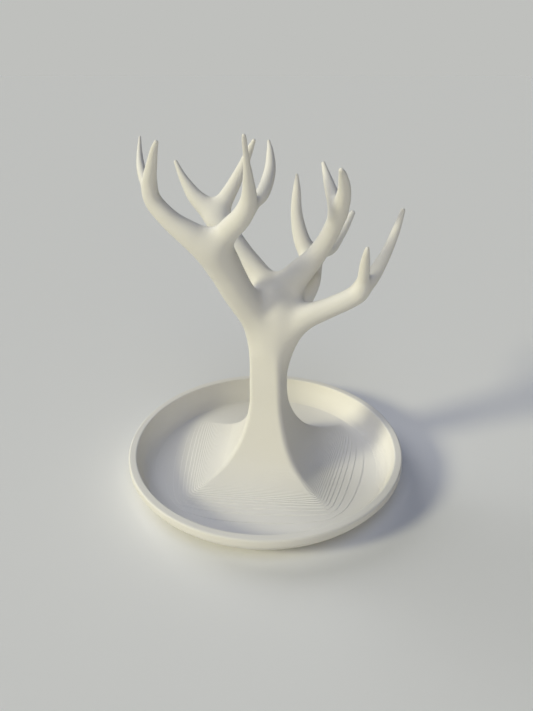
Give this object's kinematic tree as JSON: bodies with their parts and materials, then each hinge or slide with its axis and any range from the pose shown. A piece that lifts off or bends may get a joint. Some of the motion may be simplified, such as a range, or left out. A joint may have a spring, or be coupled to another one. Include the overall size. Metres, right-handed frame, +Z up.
{
  "type": "jewelry tree",
  "caption": "Round low dish whose four-cornered foot rises into a twisted stem that parts into curved forked limbs with pointed tines, for hanging and laying down jewelry.",
  "frame": {"origin": "centre of the flat underside of the round dish, on the surface that the part stands on", "axes": "+Z up along the stem, +X to the right and +Y away from a viewer in front of the part"},
  "size_m": [0.12, 0.12, 0.1475],
  "materials": {
    "centre_fork": "matte",
    "centre_front_tine": "matte",
    "centre_rear_tine": "matte",
    "dish": "matte",
    "front_left_limb": "matte",
    "inner_left_fork": "matte",
    "inner_left_front_tine": "matte",
    "inner_left_rear_tine": "matte",
    "outer_left_fork": "matte",
    "outer_left_front_tine": "matte",
    "outer_left_rear_tine": "matte",
    "rear_left_fork": "matte",
    "rear_left_inner_tine": "matte",
    "rear_left_outer_tine": "matte",
    "rear_right_fork": "matte",
    "rear_right_inner_tine": "matte",
    "rear_right_outer_tine": "matte",
    "right_fork": "matte",
    "right_front_tine": "matte",
    "right_outer_tine": "matte",
    "stem": "matte"
  },
  "bodies": {
    "root": {"centre_fork": "centre_fork", "centre_front_tine": "centre_front_tine", "centre_rear_tine": "centre_rear_tine", "dish": "dish", "front_left_limb": "front_left_limb", "inner_left_fork": "inner_left_fork", "inner_left_front_tine": "inner_left_front_tine", "inner_left_rear_tine": "inner_left_rear_tine", "outer_left_fork": "outer_left_fork", "outer_left_front_tine": "outer_left_front_tine", "outer_left_rear_tine": "outer_left_rear_tine", "rear_left_fork": "rear_left_fork", "rear_left_inner_tine": "rear_left_inner_tine", "rear_left_outer_tine": "rear_left_outer_tine", "rear_right_fork": "rear_right_fork", "rear_right_inner_tine": "rear_right_inner_tine", "rear_right_outer_tine": "rear_right_outer_tine", "right_fork": "right_fork", "right_front_tine": "right_front_tine", "right_outer_tine": "right_outer_tine", "stem": "stem"}
  },
  "joints": []
}
